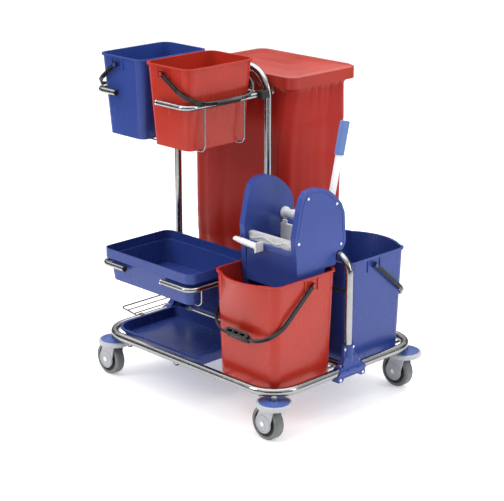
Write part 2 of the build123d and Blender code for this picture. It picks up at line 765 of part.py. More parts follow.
small_half = small_size[1] / 2 + bail_gap
mop_half = mop_size[0] / 2 + bail_gap
red_way = (cos(radians(small_red_hang)), 0, -sin(radians(small_red_hang)))
blue_way = (-cos(radians(small_blue_hang)), 0, -sin(radians(small_blue_hang)))
mop_way = (0, -cos(radians(mop_hang)), -sin(radians(mop_hang)))
small_grip = (92, 11, 12)
mop_grip = (88, 19, 25)
red_pivot = (small_red_pivot_x, small_y, small_pivot_z)
blue_pivot = (small_blue_pivot_x, small_y, small_pivot_z)
mop_pivot = (mop_x, -mop_pivot_y, mop_pivot_z)
small_red_bail = bail(red_pivot, (0, 1, 0), red_way, small_half, small_red_reach, 78, small_grip, 3, 0)
small_blue_bail = bail(blue_pivot, (0, 1, 0), blue_way, small_half, small_blue_reach, 70, small_grip, 3, 0)
save(small_red_bail, "upper_red_bail")
save(small_blue_bail, "upper_blue_bail")
mop_bail = bail(mop_pivot, (1, 0, 0), mop_way, mop_half, mop_reach, 86, mop_grip, -3, 3)
save(mop_bail, "lower_red_bail")
save(mirror(mop_bail, about=Plane.XZ), "lower_blue_bail")


# ================================================================ tray
def tray_outline(size, inset, height):
    with BuildSketch(Plane.XY.offset(height)) as shape:
        with Locations((tray_x, tray_y)):
            RectangleRounded(size[0] - 2 * inset, size[1] - 2 * inset, tray_corner - inset / 2)
    return shape.sketch


with BuildPart() as tray:
    tray_foot = tray_outline(tray_body, tray_taper, tray_floor_z).face()
    loft([tray_foot, tray_outline(tray_body, 0, tray_step_z).face()])
    extrude(tray_outline(tray_band, 0, tray_step_z), amount=tray_rim_z - tray_step_z)
    hollow = [
        tray_outline(tray_body, tray_taper + tray_wall, tray_floor_z + tray_wall).face(),
        tray_outline(tray_body, tray_wall, tray_step_z + tray_wall).face(),
    ]
    loft(hollow, mode=Mode.SUBTRACT)
    top_hollow = tray_outline(tray_band, tray_wall, tray_step_z + tray_wall)
    extrude(top_hollow, amount=tray_rim_z, mode=Mode.SUBTRACT)
save(tray.part, "tray")


# ================================================================ bag, its ring and the lid
def bag_outline(level, shrink, height):
    left, right = bag_left[level] + shrink, bag_right[level] - shrink
    front, back = bag_front[level] + shrink, bag_back[level] - shrink
    with BuildSketch(Plane.XY.offset(height)) as shape:
        with Locations(((left + right) / 2, (front + back) / 2)):
            RectangleRounded(right - left, back - front, bag_corner[level] - shrink / 2)
    return shape.sketch.face()


with BuildPart() as bag:
    loft([bag_outline(level, 0, height) for level, height in enumerate(bag_z)], ruled=True)
    inner_z = [bag_z[0] + bag_wall] + bag_z[1:]
    inside = [bag_outline(level, bag_wall, height) for level, height in enumerate(inner_z)]
    loft(inside, ruled=True, mode=Mode.SUBTRACT)
save(bag.part, "bag")

frame_left, frame_right = lid_x[0] + bag_ring_inset, lid_x[1] - bag_ring_inset
frame_front, frame_back = lid_y[0] + bag_ring_inset, lid_y[1] - bag_ring_inset
frame_loop = [
    (frame_left, frame_front, bag_ring_z),
    (frame_right, frame_front, bag_ring_z),
    (frame_right, frame_back, bag_ring_z),
    (frame_left, frame_back, bag_ring_z),
]
right_arm = [
    (arch_right_x, frame_front, bag_ring_z),
    (arch_right_x, bag_arm_y, bag_ring_z),
    (arch_right_x, bag_arm_y, bag_arm_z),
    (arch_right_x, 0, bag_arm_z),
]
left_arm = [
    (bag_arm_x, frame_front, bag_ring_z),
    (bag_arm_x, bag_arm_y, bag_ring_z),
    (bag_arm_x, bag_arm_y, bag_arm_z),
    (bag_arm_x, 13, bag_arm_z),
    (arch_left_x, 0, bag_arm_z),
]
lid_pin = rod((hinge_x[0] - 20, lid_pin_y, lid_pin_z), (hinge_x[1] + 20, lid_pin_y, lid_pin_z), lid_pin_dia)
with BuildPart() as bag_frame:
    add(round_tube(frame_loop, lid_corner - 6, bag_ring_tube, closed=True))
    add(round_tube(right_arm, 3.6, bag_arm_dia))
    add(round_tube(left_arm, 3.6, bag_arm_dia))
    for x in hinge_x:
        add(block((x - 5, frame_back - 2, lid_pin_z - 5), (x + 5, frame_back + 6, bag_ring_z)))
        add(block((x - 5, frame_back - 2, lid_pin_z - 5), (x + 5, lid_pin_y, lid_pin_z + 3.5)))
        add(rod((x - 5, lid_pin_y, lid_pin_z), (x + 5, lid_pin_y, lid_pin_z), 12))
    add(arch_solid, mode=Mode.SUBTRACT)
    add(lid_pin, mode=Mode.SUBTRACT)
save(bag_frame.part, "bag_frame")
save(lid_pin, "lid_hinge_pin")


def lid_outline(inset, height):
    with BuildSketch(Plane.XY.offset(height)) as shape:
        with Locations(((lid_x[0] + lid_x[1]) / 2, (lid_y[0] + lid_y[1]) / 2)):
            RectangleRounded(lid_x[1] - lid_x[0] - 2 * inset, lid_y[1] - lid_y[0] - 2 * inset, lid_corner)
    return shape.sketch


def lid_solid(inset, low_z, drop):
    """The outside of the lid, or with an inset and a drop the hollow under it."""
    edge = lid_edge_z - drop
    dome = [(0, edge), (8, edge + 4.5), (45, edge + 9.5), (100, edge + lid_crown)]
    with BuildPart() as cap:
        extrude(lid_outline(inset, low_z), amount=edge - low_z)
        for low, high in zip(dome, dome[1:]):
            loft([lid_outline(inset + low[0], low[1]).face(), lid_outline(inset + high[0], high[1]).face()])
    return cap.part


with BuildPart() as lid:
    add(lid_solid(0, lid_skirt_z, 0))
    add(lid_solid(lid_wall, lid_skirt_z - 1, lid_wall), mode=Mode.SUBTRACT)
    for x in hinge_x:
        for shift in (-12, 12):
            middle = x + shift
            add(rod((middle - 5, lid_pin_y, lid_pin_z), (middle + 5, lid_pin_y, lid_pin_z), 12))
            near, far = middle - 5, middle + 5
            add(block((near, lid_y[1] - 1, lid_skirt_z + 1), (far, lid_pin_y + 4, lid_skirt_z + 8)))
            add(block((near, lid_pin_y - 2, lid_pin_z), (far, lid_pin_y + 4, lid_skirt_z + 8)))
    hole_dia = lid_pin_dia + 2 * running_gap
    pin_hole = rod((base_x - 300, lid_pin_y, lid_pin_z), (base_x + 130, lid_pin_y, lid_pin_z), hole_dia)
    add(pin_hole, mode=Mode.SUBTRACT)
save(lid.part, "lid")

# ================================================================ wringer
cheek_line = [
    (-160, wringer_leg_z),
    (-60, wringer_leg_z),
    (-60, 449),
    (-14, 449),
    (-13, 478),
    (14, 489),
    (22, 497),
    (27, 511),
    (21, 595),
    (8, 623),
    (-18, 650),
    (-46, 671),
    (-79, 683),
    (-111, 685),
    (-134, 680),
    (-149, 666),
    (-161, 629),
    (-177, 556),
    (-171, 492),
    (-168, 425),
]
saddle = rod((base_x, 0, hoop_top_z), (base_x + 400, 0, hoop_top_z), post_dia + 3)
cheek_screws = [(-128, 662), (-13, 626), (-164, 541), (6, 506)]


def cheek_face(x, inset):
    with BuildSketch(Plane.YZ.offset(x)) as shape:
        with BuildLine():
            Polyline(*cheek_line, close=True)
        make_face()
        fillet(shape.vertices(), 5)
        if inset > 0:
            offset(amount=-inset)
    return shape.sketch


def cheek(outer_x, inward):
    """One side housing of the wringer, open to the outside; inward is the way to the middle."""
    inner_x = outer_x + inward * cheek_thick
    with BuildPart() as housing:
        extrude(cheek_face(min(outer_x, inner_x), 0), amount=cheek_thick)
        pocket_x = outer_x if inward > 0 else inner_x + cheek_wall
        extrude(cheek_face(pocket_x, cheek_wall), amount=cheek_thick - cheek_wall, mode=Mode.SUBTRACT)
        add(rod((inner_x, lever_y, lever_z), (outer_x, lever_y, lever_z), lever_shaft_dia + 9))
        bearing_dia = lever_shaft_dia + 2 * running_gap
        bearing_to = (inner_x + inward, lever_y, lever_z)
        bearing = rod((outer_x - inward, lever_y, lever_z), bearing_to, bearing_dia)
        add(bearing, mode=Mode.SUBTRACT)
        for y, z in cheek_screws:
            add(rod((inner_x, y, z), (outer_x, y, z), 10))
            add(rod((outer_x + inward * 8, y, z), (outer_x - inward, y, z), 3.4), mode=Mode.SUBTRACT)
        add(saddle, mode=Mode.SUBTRACT)
    return housing.part


with BuildPart() as wringer_covers:
    for start in (cheek_right_x, cheek_left_x - cover_thick):
        extrude(cheek_face(start, 0), amount=cover_thick)
    add(saddle, mode=Mode.SUBTRACT)
    for y, z in cheek_screws:
        add(rod((base_x, y, z), (base_x + 400, y, z), 3.4), mode=Mode.SUBTRACT)
with BuildPart() as wringer_screws:
    for face, inward in ((cheek_left_x - cover_thick, 1), (cheek_right_x + cover_thick, -1)):
        for y, z in cheek_screws:
            add(rod((face, y, z), (face + inward * 10, y, z), 3.4))
            add(rod((face, y, z), (face - inward * 1.8, y, z), 8))
save(cheek(cheek_left_x, 1), "wringer_cheek_left")
save(cheek(cheek_right_x, -1), "wringer_cheek_right")
save(wringer_covers.part, "wringer_covers")
save(wringer_screws.part, "wringer_screws")

inner_left, inner_right = cheek_left_x + cheek_thick, cheek_right_x - cheek_thick
front_y, back_y = basin_y
floor_z, top_z = basin_z
with BuildPart() as wringer_basin:
    add(block((inner_left, front_y, floor_z), (inner_right, back_y, floor_z + basin_wall)))
    add(block((inner_left, front_y, floor_z), (inner_right, front_y + basin_wall, top_z)))
    add(block((inner_left, back_y - basin_wall, floor_z), (inner_right, back_y, top_z - 8)))
    add(block((inner_left, front_y - 5, top_z - 5), (inner_right, front_y + 9, top_z + 7)))
    with BuildSketch(Plane.XY.offset(floor_z - 1)):
        with Locations(((inner_left + inner_right) / 2, (front_y + back_y) / 2)):
            with GridLocations(16, 24, 10, 4):
                RectangleRounded(8, 16, 3)
    extrude(amount=basin_wall + 2, mode=Mode.SUBTRACT)
    with BuildSketch(Plane.XZ.offset(-back_y - 1)):
        with Locations(((inner_left + inner_right) / 2, floor_z + 41)):
            with GridLocations(16, 26, 10, 2):
                RectangleRounded(8, 15, 3)
    extrude(amount=basin_wall + 2, mode=Mode.SUBTRACT)
    for x in (inner_left + 46, inner_right - 42):
        add(rod((x, front_y + basin_wall, guide_z), (x, back_y - basin_wall, guide_z), guide_dia))
save(wringer_basin.part, "wringer_basin")

with BuildPart() as wringer_jaw_fixed:
    add(block((inner_left, -159, top_z), (inner_right, -152, top_z + 30)))
    add(block((inner_left, -159, top_z + 24), (inner_right, -142, top_z + 30)))
    add(block((inner_left, -159, top_z), (inner_right, -142, top_z + 4)))
    for count in range(9):
        rib_x = inner_left + 8 + count * (inner_right - inner_left - 16) / 8
        add(block((rib_x - 1.5, -158, top_z), (rib_x + 1.5, -142, top_z + 30)))
save(wringer_jaw_fixed.part, "wringer_jaw_fixed")

with BuildPart() as wringer_jaw_moving:
    add(block((jaw_x[0], jaw_y - 4, jaw_z[0]), (jaw_x[1], jaw_y + 1, jaw_z[1])))
    add(block((jaw_x[0], jaw_y - 4, jaw_z[1] - 6), (jaw_x[1], jaw_y + 5, jaw_z[1])))
    add(block((jaw_x[0], jaw_y - 4, jaw_z[0]), (jaw_x[1], jaw_y + 5, jaw_z[0] + 6)))
    for count in range(5):
        rib_x = jaw_x[0] + 2 + count * (jaw_x[1] - jaw_x[0] - 4) / 4
        add(block((rib_x - 2, jaw_y - 4, jaw_z[0]), (rib_x + 2, jaw_y + 5, jaw_z[1])))
    add(block((jaw_x[0] + 6, jaw_y - 3, jaw_z[1]), (jaw_x[0] + 20, jaw_y + 4, jaw_z[1] + 10)))
    for x in (inner_left + 46, inner_right - 42):
        add(rod((x, jaw_y - 8, guide_z), (x, jaw_y + 7, guide_z), guide_dia + 8))
        hole = rod((x, jaw_y - 20, guide_z), (x, jaw_y + 20, guide_z), guide_dia + 2 * running_gap)
        add(hole, mode=Mode.SUBTRACT)
save(wringer_jaw_moving.part, "wringer_jaw_moving")

latch_from, latch_to = (base_x + 98, -190, 516), (base_x + 190, -190, 509)
with BuildPart() as wringer_latch:
    with BuildSketch(Plane(origin=latch_from, z_dir=Vector(*latch_to) - Vector(*latch_from))):
        Ellipse(6, 8)
    extrude(amount=92, taper=-1.8)
    add(block((base_x + 189, -203, 496), (base_x + 194, -173, 523)))
save(wringer_latch.part, "wringer_latch")

lever_way = Vector(0, sin(radians(lever_lean)), cos(radians(lever_lean)))
lever_plane = Plane(origin=(lever_x, lever_y, lever_z), x_dir=(1, 0, 0), z_dir=lever_way)
with BuildPart() as lever_shaft:
    add(rod((cheek_left_x, lever_y, lever_z), (cheek_right_x, lever_y, lever_z), lever_shaft_dia))
    add(rod((inner_left + 0.4, lever_y, lever_z), (inner_left + 8, lever_y, lever_z), lever_shaft_dia + 9))
    for x in (base_x + 160, base_x + 240):
        add(rod((x - 4, lever_y, lever_z), (x + 4, lever_y, lever_z), lever_shaft_dia + 4))
save(lever_shaft.part, "lever_shaft")

with BuildPart() as lever_grip_core:
    with BuildSketch(lever_plane.offset(lever_grip_start)):
        with Locations((lever_bar[0] / 2, 0)):
            RectangleRounded(lever_bar[0] + 9, lever_bar[1] + 7, 7)
    extrude(amount=lever_grip_end - lever_grip_start)
    fillet(lever_grip_core.faces().sort_by(Axis.Z)[-1].edges(), 3)
with BuildPart() as lever_arm:
    with BuildSketch(lever_plane):
        with Locations((lever_bar[0] / 2, 0)):
            RectangleRounded(lever_bar[0], lever_bar[1], 3)
    extrude(amount=lever_grip_end - 8)
    add(rod((lever_x - 4, lever_y, lever_z), (lever_x + 12, lever_y, lever_z), lever_shaft_dia + 14))
    add(lever_shaft.part, mode=Mode.SUBTRACT)
save(lever_arm.part, "lever_arm")
save(lever_grip_core.part - lever_arm.part, "lever_grip")

with BuildPart() as wringer_feet:
    for x in ((cheek_left_x + 1, inner_left - 1), (inner_right + 1, cheek_right_x - 1)):
        for y in (-145, -75):
            add(block((x[0], y, wringer_foot_z), (x[1], y + 24, wringer_leg_z)))
save(wringer_feet.part, "wringer_feet")

# ================================================================ fold-up rack
tilt = radians(rack_tilt)
with BuildPart() as wire_rack:
    for distance in rack_spacing:
        x = base_x - ring_x - distance * cos(tilt)
        z = ring_z + distance * sin(tilt)
        add(rod((x, -rack_half, z), (x, rack_half, z), rack_wire - 1))
    for y in (-rack_half, rack_half):
        add(rod((base_x - ring_x, y - 6, ring_z), (base_x - ring_x, y + 6, ring_z), ring_tube + 6))
    near_x, near_z = base_x - ring_x - 13 * cos(tilt), ring_z + 13 * sin(tilt)
    far_x, far_z = base_x - ring_x - rack_reach * cos(tilt), ring_z + rack_reach * sin(tilt)
    frame_wire = [
        (near_x, -rack_half, near_z),
        (far_x, -rack_half, far_z),
        (far_x, rack_half, far_z),
        (near_x, rack_half, near_z),
    ]
    add(round_tube(frame_wire, 12, rack_wire))
    bore_dia = ring_tube + 2 * running_gap
    sleeve_from = (base_x - ring_x, -rack_half - 10, ring_z)
    sleeve_to = (base_x - ring_x, rack_half + 10, ring_z)
    add(rod(sleeve_from, sleeve_to, bore_dia), mode=Mode.SUBTRACT)
save(wire_rack.part, "wire_rack")
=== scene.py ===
import math

import bpy
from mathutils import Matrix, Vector, noise


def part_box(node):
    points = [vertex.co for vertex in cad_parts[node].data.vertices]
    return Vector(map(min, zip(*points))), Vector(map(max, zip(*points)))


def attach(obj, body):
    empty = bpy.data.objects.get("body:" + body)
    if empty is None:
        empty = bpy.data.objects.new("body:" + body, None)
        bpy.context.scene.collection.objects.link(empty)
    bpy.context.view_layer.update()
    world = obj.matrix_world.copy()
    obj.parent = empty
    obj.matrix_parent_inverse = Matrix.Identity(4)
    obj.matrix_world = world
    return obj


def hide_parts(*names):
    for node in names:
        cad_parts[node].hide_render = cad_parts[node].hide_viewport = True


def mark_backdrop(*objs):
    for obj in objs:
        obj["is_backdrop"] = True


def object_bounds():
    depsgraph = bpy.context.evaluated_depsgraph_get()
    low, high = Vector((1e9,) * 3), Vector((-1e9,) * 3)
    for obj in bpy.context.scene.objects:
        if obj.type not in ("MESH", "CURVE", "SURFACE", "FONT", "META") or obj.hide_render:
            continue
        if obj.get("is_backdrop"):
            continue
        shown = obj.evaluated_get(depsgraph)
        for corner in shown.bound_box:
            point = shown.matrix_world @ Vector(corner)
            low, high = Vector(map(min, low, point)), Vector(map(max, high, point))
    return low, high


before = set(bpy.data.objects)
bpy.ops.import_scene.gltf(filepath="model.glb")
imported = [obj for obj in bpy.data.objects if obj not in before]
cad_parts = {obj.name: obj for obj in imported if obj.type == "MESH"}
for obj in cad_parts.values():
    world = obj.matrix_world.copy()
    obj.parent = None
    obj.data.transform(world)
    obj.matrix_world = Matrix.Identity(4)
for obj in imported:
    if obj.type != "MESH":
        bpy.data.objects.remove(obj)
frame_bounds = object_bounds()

BASE_X = 0.037  # middle of the wheelbase in the row frame


# ------------------------------------------------------------------ shader helpers
class Graph:
    """A material's node tree with short ways to add and join nodes."""

    def __init__(self, name):
        self.material = bpy.data.materials.new(name)
        self.material.use_nodes = True
        self.tree = self.material.node_tree
        self.shader = self.tree.nodes["Principled BSDF"]
        self.place = self.add("ShaderNodeTexCoord").outputs["Object"]

    def add(self, kind, **settings):
        node = self.tree.nodes.new(kind)
        for key, value in settings.items():
            setattr(node, key, value)
        return node

    def link(self, source, target):
        if isinstance(source, (int, float)):
            target.default_value = source
        else:
            self.tree.links.new(source, target)

    def math(self, operation, a, b=0.0, c=0.0):
        node = self.add("ShaderNodeMath", operation=operation)
        for socket, value in zip(node.inputs, (a, b, c)):
            self.link(value, socket)
        return node.outputs[0]

    def noise(self, scale, detail=3.0, stretch=(1, 1, 1), roughness=0.5):
        mapping = self.add("ShaderNodeMapping")
        mapping.inputs["Scale"].default_value = stretch
        self.link(self.place, mapping.inputs["Vector"])
        node = self.add("ShaderNodeTexNoise")
        self.link(mapping.outputs[0], node.inputs["Vector"])
        node.inputs["Scale"].default_value = scale
        node.inputs["Detail"].default_value = detail
        node.inputs["Roughness"].default_value = roughness
        return node.outputs[0]

    def remap(self, value, low, high, new_low, new_high):
        node = self.add("ShaderNodeMapRange")
        for socket, number in zip(node.inputs[1:5], (low, high, new_low, new_high)):
            socket.default_value = number
        self.link(value, node.inputs[0])
        return node.outputs[0]

    def mix(self, factor, a, b):
        node = self.add("ShaderNodeMix", data_type="RGBA")
        self.link(factor, node.inputs["Factor"])
        for socket, value in ((node.inputs[6], a), (node.inputs[7], b)):
            if isinstance(value, tuple):
                socket.default_value = (*value, 1.0)
            else:
                self.link(value, socket)
        return node.outputs[2]

    def along(self, direction, origin=(0, 0, 0)):
        """Distance along a direction from an origin, in metres."""
        node = self.add("ShaderNodeVectorMath", operation="DOT_PRODUCT")
        self.link(self.place, node.inputs[0])
        node.inputs[1].default_value = direction
        start = Vector(direction).dot(Vector(origin))
        return self.math("SUBTRACT", node.outputs["Value"], start)

    def relief(self, layers, round_edges=0.0009):
        """Stacks (height, distance in metres) layers as bumps over softly rounded edges."""
        bevel = self.add("ShaderNodeBevel", samples=4)
        bevel.inputs["Radius"].default_value = round_edges
        normal = bevel.outputs[0]
        for height, distance in layers:
            bump = self.add("ShaderNodeBump")
            bump.inputs["Distance"].default_value = distance
            bump.inputs["Strength"].default_value = 1.0
            self.link(height, bump.inputs["Height"])
            self.link(normal, bump.inputs["Normal"])
            normal = bump.outputs[0]
        self.link(normal, self.shader.inputs["Normal"])
        return normal


SCUFF = 0.35  # how strongly fine scuffs show in the gloss


def plastic(name, colour, rough=0.28, peel=0.00006, extra=(), spread=0.10):
    """A moulded plastic: faint mottling, fine texture, fine scuffs that only change the gloss."""
    g = Graph(name)
    deep = tuple(c * (1 - spread) for c in colour)
    pale = tuple(min(1.0, c * (1 + spread)) for c in colour)
    tone = g.mix(g.remap(g.noise(5.0, 4.0), 0.3, 0.7, 0.0, 1.0), deep, pale)
    scuffs = g.remap(g.noise(70.0, 5.0, (1, 1, 0.12)), 0.62, 0.78, 0.0, SCUFF)
    g.link(tone, g.shader.inputs["Base Color"])
    patch = g.remap(g.noise(9.0, 3.0), 0.3, 0.7, rough - 0.05, rough + 0.05)
    g.link(g.math("ADD", patch, g.math("MULTIPLY", scuffs, 0.3)), g.shader.inputs["Roughness"])
    g.shader.inputs["IOR"].default_value = 1.5
    g.shader.inputs["Specular IOR Level"].default_value = 0.32
    layers = [(g.noise(900.0, 2.0), peel), (g.noise(14.0, 2.0), 0.0005)]
    layers += [(height(g), depth) for height, depth in extra]
    g.relief(layers)
    return g.material


def metal(name, colour, rough, brushed=0.0, stretch=(1, 1, 1)):
    g = Graph(name)
    g.shader.inputs["Metallic"].default_value = 1.0
    smear = g.remap(g.noise(22.0, 4.0), 0.35, 0.75, 0.0, 1.0)
    g.link(g.mix(smear, colour, tuple(c * 0.86 for c in colour)), g.shader.inputs["Base Color"])
    specks = g.remap(g.noise(160.0, 4.0, stretch), 0.4, 0.8, 0.0, 0.16)
    worn = g.math("MULTIPLY", smear, rough * 0.5)
    g.link(g.math("ADD", worn, g.math("ADD", specks, rough)), g.shader.inputs["Roughness"])
    g.relief([(g.noise(240.0, 2.0, stretch), 0.00002 + brushed)], 0.0006)
    return g.material


def groove_pattern(normal, origin, half):
    """A height that dips along the middle of a flat strip, so a bail reads as two rails."""

    def height(g):
        offset = g.math("ABSOLUTE", g.along(normal, origin))
        return g.remap(offset, half * 0.25, half * 0.45, 0.0, 1.0)

    return height


def ribs(direction, origin, reach, pitch):
    """Ribs across a grip, only within reach of the origin."""

    def height(g):
        distance = g.along(direction, origin)
        wave = g.math("ABSOLUTE", g.math("SINE", g.math("MULTIPLY", distance, math.pi / pitch)))
        inside = g.math("LESS_THAN", g.math("ABSOLUTE", distance), reach)
        return g.math("MULTIPLY", wave, inside)

    return height


BLUE = (0.024, 0.050, 0.235)
RED = (0.375, 0.023, 0.012)
blue_bucket = plastic("blue moulding", BLUE, 0.24, 0.00005)
blue_tray = plastic("blue tray", tuple(c * 0.92 for c in BLUE), 0.27, 0.00007)
blue_shell = plastic("blue wringer shell", tuple(c * 1.08 for c in BLUE), 0.33, 0.00010)
blue_bracket = plastic("blue bracket", tuple(c * 0.95 for c in BLUE), 0.30, 0.00008)
blue_disc = plastic("blue buffer", (0.060, 0.110, 0.330), 0.30, 0.00008)
grip_ribs = ribs((0, 0.2334, 0.9724), (0, 0, 0.80), 0.9, 0.0052)
blue_grip = plastic("light blue grip", (0.100, 0.170, 0.400), 0.38, 0.00012, extra=[(grip_ribs, 0.0003)])
red_bucket = plastic("red moulding", RED, 0.24, 0.00005)
red_lid = plastic("red lid", (0.340, 0.026, 0.015), 0.30, 0.00008)
white_part = plastic("white moulding", (0.74, 0.74, 0.75), 0.32, 0.00008, spread=0.03)
# the jaws get a darker grey than the white mouldings; part of that grey is painted shade from inside the wringer
jaw_grey_painted_shade = plastic("jaw moulding with painted shade", (0.56, 0.56, 0.57), 0.34, 0.00008, spread=0.03)
black_gloss = plastic("black gloss", (0.010, 0.010, 0.011), 0.20, 0.00006)
black_matte = plastic("black matte", (0.018, 0.018, 0.019), 0.5, 0.00015)
rim_rubber = plastic("grey rim", (0.42, 0.43, 0.45), 0.48, 0.00015, spread=0.05)
chrome = metal("chrome", (0.34, 0.34, 0.345), 0.13)
chrome_wire = metal("chrome wire", (0.34, 0.34, 0.35), 0.16)
rack_wire = metal("rack wire", (0.13, 0.13, 0.135), 0.14)
zinc = metal("zinc screws", (0.72, 0.72, 0.74), 0.26, 0.00003)


def off_axle(g, centre):
    """Distance from a wheel's axle, in metres."""
    across = g.math("POWER", g.along((1, 0, 0), centre), 2.0)
    up = g.math("POWER", g.along((0, 0, 1), centre), 2.0)
    return g.math("SQRT", g.math("ADD", across, up))


def fork_material(name, centre):
    """A grey moulded fork with pressed rings round its axle."""

    def ring(radius, half):
        def height(g):
            away = g.math("ABSOLUTE", g.math("SUBTRACT", off_axle(g, centre), radius))
            return g.remap(away, half * 0.5, half, 0.0, 1.0)

        return height

    rings = [(ring(0.0235, 0.0016), 0.0016), (ring(0.0150, 0.0012), 0.0012)]
    return plastic(name, (0.42, 0.43, 0.45), 0.26, 0.00008, spread=0.05, extra=rings)


def tyre_material(name, centre):
    """A grey tyre with a dark band next to its hub."""
    g = Graph(name)
    mottle = g.remap(g.noise(30.0, 5.0), 0.3, 0.7, 0.0, 1.0)
    tone = g.mix(mottle, (0.110, 0.120, 0.118), (0.150, 0.160, 0.157))
    dust = g.remap(g.noise(75.0, 6.0), 0.45, 0.8, 0.0, 0.5)
    worn = g.mix(g.math("MULTIPLY", dust, 0.4), tone, (0.32, 0.32, 0.31))
    band = g.remap(off_axle(g, centre), 0.0385, 0.0400, 1.0, 0.0)
    g.link(g.mix(band, worn, (0.010, 0.010, 0.011)), g.shader.inputs["Base Color"])
    g.link(g.remap(g.noise(50.0, 3.0), 0.3, 0.7, 0.42, 0.62), g.shader.inputs["Roughness"])
    g.relief([(g.noise(700.0, 3.0), 0.0002), (g.noise(60.0, 2.0), 0.0003)], 0.0012)
    return g.material


def film_material():
    g = Graph("bag film")
    mottle = g.remap(g.noise(7.0, 4.0, (1, 1, 0.25)), 0.3, 0.7, 0.0, 1.0)
    tone = g.mix(mottle, (0.310, 0.015, 0.010), (0.355, 0.018, 0.011))
    g.link(tone, g.shader.inputs["Base Color"])
    g.link(g.remap(g.noise(16.0, 3.0, (1, 1, 0.3)), 0.3, 0.7, 0.30, 0.42), g.shader.inputs["Roughness"])
    g.shader.inputs["Specular IOR Level"].default_value = 0.12
    g.shader.inputs["Subsurface Weight"].default_value = 0.08
    g.shader.inputs["Subsurface Radius"].default_value = (0.02, 0.004, 0.003)
    crease = g.noise(9.0, 3.0, (1, 1, 0.22), 0.5)
    fine = g.noise(90.0, 3.0, (1, 1, 0.5), 0.5)
    g.relief([(crease, 0.0022), (fine, 0.0001)], 0.0005)
    return g.material


film = film_material()

# a cap material that is black at the left ends of the holders and bright at the right ends
caps = Graph("holder caps")
side = caps.math("GREATER_THAN", caps.along((1, 0, 0)), BASE_X - 0.170)
caps.link(caps.mix(side, (0.012, 0.012, 0.013), (0.78, 0.78, 0.80)), caps.shader.inputs["Base Color"])
caps.link(side, caps.shader.inputs["Metallic"])
caps.link(caps.remap(caps.noise(60.0), 0.3, 0.7, 0.16, 0.30), caps.shader.inputs["Roughness"])
caps.relief([(caps.noise(500.0), 0.00005)], 0.001)


def bail_material(name, pivot, way, span, reach, pitch):
    normal = Vector(span).cross(Vector(way)).normalized()
    groove = groove_pattern(normal, pivot, 0.006)
    bumps = ribs(span, pivot, reach, pitch)
    return plastic(name, (0.008, 0.008, 0.009), 0.15, 0.00004, extra=[(groove, 0.0016), (bumps, 0.0005)])


def hang(direction, angle):
    return Vector((direction[0] * math.cos(angle), direction[1] * math.cos(angle), -math.sin(angle)))


mop_red_pivot = (BASE_X + 0.217, -0.130, 0.420)
mop_blue_pivot = (BASE_X + 0.217, 0.130, 0.420)
bails = {
    "lower_red_bail": (mop_red_pivot, hang((0, -1), math.radians(39.7)), (1, 0, 0), 0.05, 0.012),
    "lower_blue_bail": (mop_blue_pivot, hang((0, 1), math.radians(39.7)), (1, 0, 0), 0.05, 0.012),
    "upper_red_bail": ((BASE_X - 0.068, -0.174, 0.975), hang((1, 0), math.radians(31)), (0, 1, 0), 0.045, 0.009),
    "upper_blue_bail": ((BASE_X - 0.265, -0.174, 0.975), hang((-1, 0), math.radians(36.8)), (0, 1, 0), 0.045, 0.009),
}

finishes = {
    "base_ring": chrome, "base_bars": chrome, "main_arch": chrome, "bucket_hoop": chrome, "upper_holder": chrome,
    "tray_holder": chrome, "bag_frame": chrome_wire, "caster_stems": chrome, "wire_rack": rack_wire,
    "bottom_shelf": blue_tray, "bag_tub": blue_bucket, "tray": blue_tray, "upper_blue_bucket": blue_bucket,
    "lower_blue_bucket": blue_bucket, "upper_red_bucket": red_bucket, "lower_red_bucket": red_bucket,
    "bracket_left": blue_bracket, "bracket_right": blue_bracket, "bracket_screws": zinc, "hoop_crossbar": black_matte,
    "holder_caps": caps.material, "holder_clamps": black_matte, "clamp_bolts": zinc, "buffer_discs": blue_disc,
    "buffer_rims": rim_rubber, "lid": red_lid, "lid_hinge_pin": zinc, "bag": film,
    "wringer_cheek_left": blue_shell, "wringer_cheek_right": blue_shell, "wringer_covers": blue_shell,
    "wringer_basin": blue_shell, "wringer_screws": zinc, "wringer_jaw_fixed": jaw_grey_painted_shade,
    "wringer_jaw_moving": jaw_grey_painted_shade, "wringer_latch": white_part, "lever_shaft": white_part,
    "lever_arm": white_part, "lever_grip": blue_grip, "wringer_feet": black_matte,
}
for corner in ("front_left", "front_right", "rear_left", "rear_right"):
    hub_low, hub_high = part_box("hub_" + corner)
    axle_centre = (hub_low + hub_high) / 2
    finishes["fork_" + corner] = fork_material("grey fork " + corner.replace("_", " "), axle_centre)
    finishes["axle_" + corner] = zinc
    finishes["hub_" + corner] = black_matte
    finishes["tyre_" + corner] = tyre_material("grey tyre " + corner.replace("_", " "), axle_centre)
for node, (pivot, way, span, reach, pitch) in bails.items():
    finishes[node] = bail_material(node.replace("_", " "), pivot, way, span, reach, pitch)
for node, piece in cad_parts.items():
    piece.data.materials.clear()
    piece.data.materials.append(finishes[node])


# ------------------------------------------------------------------ mesh helpers
def keep(name, verts, faces, material, body, smooth=True):
    """A finished piece of the visual model, riding on a CAD body."""
    mesh = bpy.data.meshes.new(name)
    mesh.from_pydata([tuple(v) for v in verts], [], faces)
    mesh.update()
    for polygon in mesh.polygons:
        polygon.use_smooth = smooth
    mesh.materials.append(material)
    piece = bpy.data.objects.new(name, mesh)
    bpy.context.scene.collection.objects.link(piece)
    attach(piece, body)
    return piece


